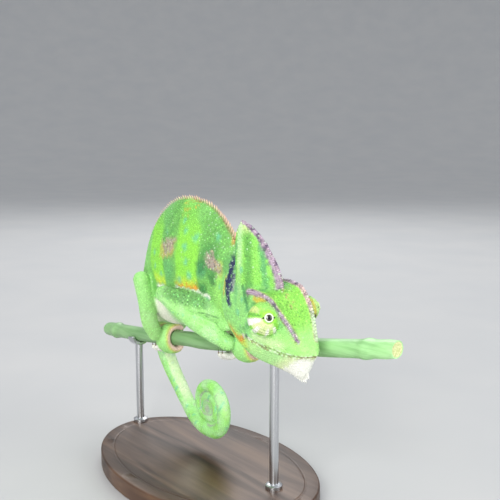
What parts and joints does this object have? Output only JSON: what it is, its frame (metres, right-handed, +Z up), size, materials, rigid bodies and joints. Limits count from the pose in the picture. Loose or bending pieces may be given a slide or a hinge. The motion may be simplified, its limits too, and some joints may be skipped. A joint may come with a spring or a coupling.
{
  "type": "chameleon",
  "caption": "Life-size veiled chameleon gripping a short green stem, tail tip coiled, on an oval display base with slim rods.",
  "frame": {"origin": "centre of the display base's underside", "axes": "+X runs along the stem towards the animal's head, +Y is the animal's left, +Z is up"},
  "size_m": [0.152, 0.062, 0.0995],
  "materials": {
    "skin": "matte granular scales",
    "spines": "matte",
    "claws": "satin horn",
    "eye": "wet gloss",
    "stem": "waxy green plant stem",
    "stand_base": "dark satin",
    "stand_rods": "brushed"
  },
  "bodies": {
    "root": {"casque": "skin", "eye_turret_left": "skin", "eye_turret_right": "skin", "eyeball_left": "eye", "eyeball_right": "eye", "head": "skin", "left_forearm": "skin", "left_forefoot": "skin", "left_hindfoot": "skin", "left_shin": "skin", "left_thigh": "skin", "left_upper_arm": "skin", "lower_jaw": "skin", "neck": "skin", "perch_stem": "stem", "right_forearm": "skin", "right_forefoot": "skin", "right_hindfoot": "skin", "right_shin": "skin", "right_thigh": "skin", "right_upper_arm": "skin", "stand_base": "stand_base", "stand_rod_front": "stand_rods", "stand_rod_rear": "stand_rods", "tail_base": "skin", "tail_coil_inner": "skin", "tail_coil_outer": "skin", "tail_middle": "skin", "trunk": "skin"}
  },
  "joints": []
}
